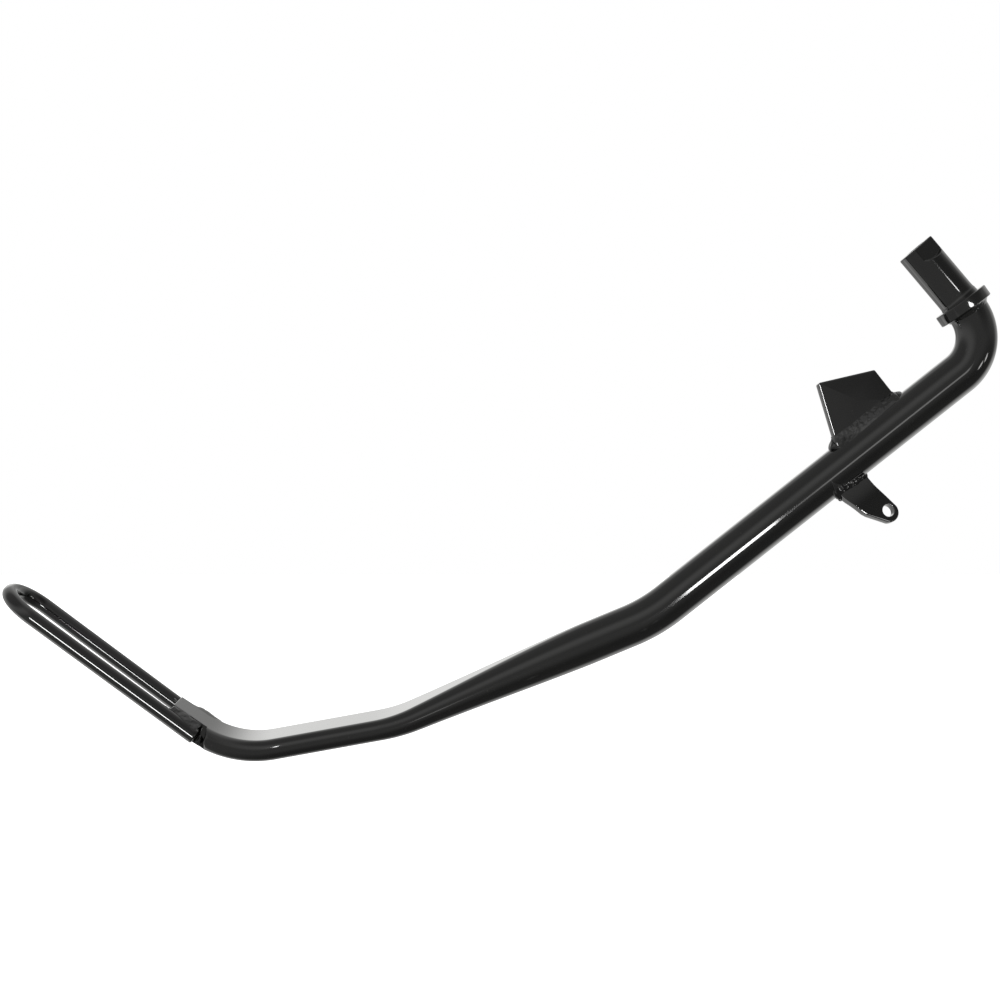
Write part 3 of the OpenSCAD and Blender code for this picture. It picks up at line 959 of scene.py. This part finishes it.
def pale_floor():
    """A wide plain floor a little below the part, which the paint doesn't mirror."""
    level = cad_box[0][2] - FLOOR_DROP
    corners = [(x, y, level) for x, y in ((-1, -1), (1, -1), (1, 1), (-1, 1))]
    mesh = bpy.data.meshes.new("floor")
    mesh.from_pydata([(x * FLOOR_HALF, y * FLOOR_HALF, z) for x, y, z in corners], [], [(0, 1, 2, 3)])
    material = bpy.data.materials.new("pale_floor")
    material.use_nodes = True
    bsdf = material.node_tree.nodes["Principled BSDF"]
    bsdf.inputs["Base Color"].default_value = (0.9, 0.9, 0.9, 1)
    bsdf.inputs["Roughness"].default_value = 0.9
    bsdf.inputs["Emission Color"].default_value = (1, 1, 1, 1)
    bsdf.inputs["Emission Strength"].default_value = 0.6
    mesh.materials.append(material)
    floor = bpy.data.objects.new("floor", mesh)
    scene.collection.objects.link(floor)
    floor.visible_glossy = False


# ---------------------------------------------------------------- what the paint mirrors
world = bpy.data.worlds.new("studio")
scene.world = world
world.use_nodes = True
sky = world.node_tree
sky.nodes.clear()
ray = sky.nodes.new("ShaderNodeTexCoord").outputs["Generated"]


def combine(op, a, b):
    """A maths node on two values, each a number or another node's output."""
    n = sky.nodes.new("ShaderNodeMath")
    n.operation = op
    for socket, v in zip(n.inputs, (a, b)):
        if isinstance(v, (int, float)):
            socket.default_value = v
        else:
            sky.links.new(v, socket)
    return n.outputs[0]


def component(direction):
    """How far a ray points along a direction, from -1 to 1."""
    n = sky.nodes.new("ShaderNodeVectorMath")
    n.operation = "DOT_PRODUCT"
    sky.links.new(ray, n.inputs[0])
    n.inputs[1].default_value = direction
    return n.outputs["Value"]


def ramp(source, lo, hi, from_value, to_value):
    """Smooth change of a value as a direction's component goes from lo to hi."""
    n = sky.nodes.new("ShaderNodeMapRange")
    n.interpolation_type = "SMOOTHSTEP"
    sky.links.new(source, n.inputs["Value"])
    for label, v in zip(("From Min", "From Max", "To Min", "To Max"), (lo, hi, from_value, to_value)):
        n.inputs[label].default_value = v
    return n.outputs["Result"]


def lobe(direction, inner, outer, gain):
    """A soft round card in a direction, full within inner degrees and gone by outer."""
    source = component(Vector(direction).normalized())
    return ramp(source, math.cos(rad(outer)), math.cos(rad(inner)), 0.0, gain)


def strip(along, middle, lo, hi, half_width, gain):
    """A long card parallel to a run of the bar, half_width degrees to each side, from lo to hi along it."""
    t = Vector(along).normalized()
    m = Vector(middle)
    m = (m - t * m.dot(t)).normalized()
    aside = combine("ABSOLUTE", component(t.cross(m)), 0)
    across = ramp(aside, math.sin(rad(half_width * 0.6)), math.sin(rad(half_width * 1.3)), gain, 0)
    start = ramp(component(t), lo - 0.03, lo, 0, 1)
    end = ramp(component(t), hi, hi + 0.04, 1, 0)
    facing = ramp(component(m), 0.3, 0.5, 0, 1)
    return combine("MULTIPLY", across, combine("MULTIPLY", combine("MULTIPLY", start, end), facing))


def front_light():
    """In front: dim below, brightest a little above level, dimmer overhead."""
    rise = component((-math.sin(rad(UPPER_FALL)), 0.0, math.cos(rad(UPPER_FALL))))
    low_side = ramp(rise, -0.85, -0.30, 0.2, 0.55)
    high_side = ramp(rise, 0.05, 0.50, 0.0, 0.55)
    top_fall = ramp(rise, 0.55, 0.85, 0.0, -0.6)
    return combine("ADD", low_side, combine("ADD", high_side, top_fall))


def white_sweep():
    """Behind: a white sweep, a little uneven."""
    brighter = combine("ADD", 1.0, lobe((-0.25, 0.9, 0.38), 6, 18, 0.9))
    return combine("ADD", brighter, lobe((0.30, 0.92, 0.32), 8, 16, -0.35))


def studio_world():
    """White to the camera, and to the paint the front light, the white sweep and the cards."""
    mix = sky.nodes.new("ShaderNodeMix")
    mix.data_type = "FLOAT"
    sky.links.new(ramp(component((0, 1, 0)), 0.22, 0.55, 0.0, 1.0), mix.inputs[0])
    sky.links.new(front_light(), mix.inputs[2])
    sky.links.new(white_sweep(), mix.inputs[3])
    cards = [
        strip(-heading_dir(HEADING[1]), (0.204, -0.960, -0.190), 0.085, 0.16, 4, 3),
        lobe((0.78, -0.52, -0.34), 2, 5, 9),
        lobe((0.90, -0.34, -0.25), 2, 5, 9),
        lobe((-0.673, 0.314, -0.669), 8, 24, 1.3),
        lobe((0.62, 0.60, -0.50), 10, 28, 0.8),
        lobe((0.50, -0.50, 0.70), 15, 45, -0.3),
        lobe((-0.38, 0.92, -0.11), 8, 20, -0.5),
    ]
    total = mix.outputs[0]
    for card in cards:
        total = combine("ADD", total, card)

    plain = sky.nodes.new("ShaderNodeBackground")
    plain.inputs["Color"].default_value = (1, 1, 1, 1)
    plain.inputs["Strength"].default_value = 1.0
    mirrored = sky.nodes.new("ShaderNodeBackground")
    mirrored.inputs["Color"].default_value = (1, 1, 0.985, 1)
    sky.links.new(total, mirrored.inputs["Strength"])
    choose = sky.nodes.new("ShaderNodeMixShader")
    sky.links.new(sky.nodes.new("ShaderNodeLightPath").outputs["Is Glossy Ray"], choose.inputs["Fac"])
    sky.links.new(plain.outputs[0], choose.inputs[1])
    sky.links.new(mirrored.outputs[0], choose.inputs[2])
    sky.links.new(choose.outputs[0], sky.nodes.new("ShaderNodeOutputWorld").inputs["Surface"])


# ---------------------------------------------------------------- lights
def softbox(name, spot, toward, distance, long_side, size, value, lit=None):
    """A rectangular light (metres) that hangs at a distance toward a direction from a spot (mm).

    With lit, it reaches only those pieces.
    """
    light = bpy.data.lights.new(name, "AREA")
    light.shape = "RECTANGLE"
    light.size, light.size_y = size
    light.energy = value * math.pi * size[0] * size[1]
    obj = bpy.data.objects.new(name, light)
    scene.collection.objects.link(obj)
    away = Vector(toward).normalized()
    x = Vector(long_side)
    x = (x - away * x.dot(away)).normalized()
    turned = Matrix((x, away.cross(x), away)).transposed().to_4x4()
    obj.matrix_world = Matrix.Translation(Vector(spot) * MM + away * distance) @ turned
    obj.visible_camera = False
    if lit:
        group = bpy.data.collections.new(name + "_lit")
        for piece in lit:
            group.objects.link(piece)
        obj.light_linking.receiver_collection = group
    return obj


def accent_lights():
    """Small lights that each put one highlight on the pieces they reach."""
    level = (1, 0, 0)
    upright = (0, 0, 1)
    across = (0, 1, 0)
    along_rods = heading_dir(HEADING[4])
    along_upper = -heading_dir(HEADING[1])
    along_shaft = -heading_dir(HEADING[0])
    softbox("foot_box", (-400, -19, -180), (-0.16, -0.95, -0.27), 1.0, along_rods, (0.34, 0.16), 42, [loop])
    softbox("streak_box", (-119, -9.5, -109), (0.204, -0.960, -0.190), 0.5, along_upper, (0.07, 0.12), 42,
            [leg])
    softbox("shaft_box", (2.5, -9.4, 0), (0.36, -0.89, 0.26), 0.6, along_shaft, (0.022, 0.05), 30, [leg])
    softbox("collar_box", (5.0, -13.8, -3.0), (0.36, -0.92, 0.10), 0.6, level, (0.16, 0.12), 30,
            [collar, collar_bead])
    softbox("plate_box", (-92, -7, -60), (-0.90, -0.39, -0.18), 1.0, upright, (0.3, 0.3), 80, [plate])
    softbox("bead_box", (-70, -8, -75), (-0.43, -0.58, 0.68), 0.8, across, (0.6, 0.5), 0.4, [plate_bead])
    softbox("tab_box", (-38, -5, -104), (0.36, -0.72, -0.50), 0.8, upright, (0.5, 0.4), 8, [tab])
    softbox("tab_edge_box", (-45, -7, -110), (-0.23, -0.64, -0.73), 0.8, upright, (0.25, 0.25), 150, [tab])
    softbox("heel_box", (-323.5, -16.4, -211.5), (-0.153, -0.904, 0.399), 0.06, level, (0.002, 0.008), 35,
            [leg])


def key_light():
    """The large soft light on the whole part, which the paint doesn't mirror."""
    middle = (Vector(cad_box[0]) + Vector(cad_box[1])) / 2
    key = softbox("key", middle / MM, (0.3, -0.65, 0.95), 1.8, (1, 0, 0), (1.2, 0.8), 1.0)
    key.visible_glossy = False


# ---------------------------------------------------------------- camera (metres)
CAMERA_AT = (-0.218, -1.570, -0.0954)
SENSOR_MM = 36.0
LENS_MM = 118.8


def photo_camera():
    """Looks level along +Y, square to the plane of the bends."""
    data = bpy.data.cameras.new("camera")
    data.sensor_width = SENSOR_MM
    data.lens = LENS_MM
    camera = bpy.data.objects.new("camera", data)
    scene.collection.objects.link(camera)
    camera.location = CAMERA_AT
    camera.rotation_euler = (rad(90), 0, 0)
    scene.camera = camera


pale_floor()
studio_world()
accent_lights()
key_light()
photo_camera()
scene.view_settings.view_transform = "Standard"
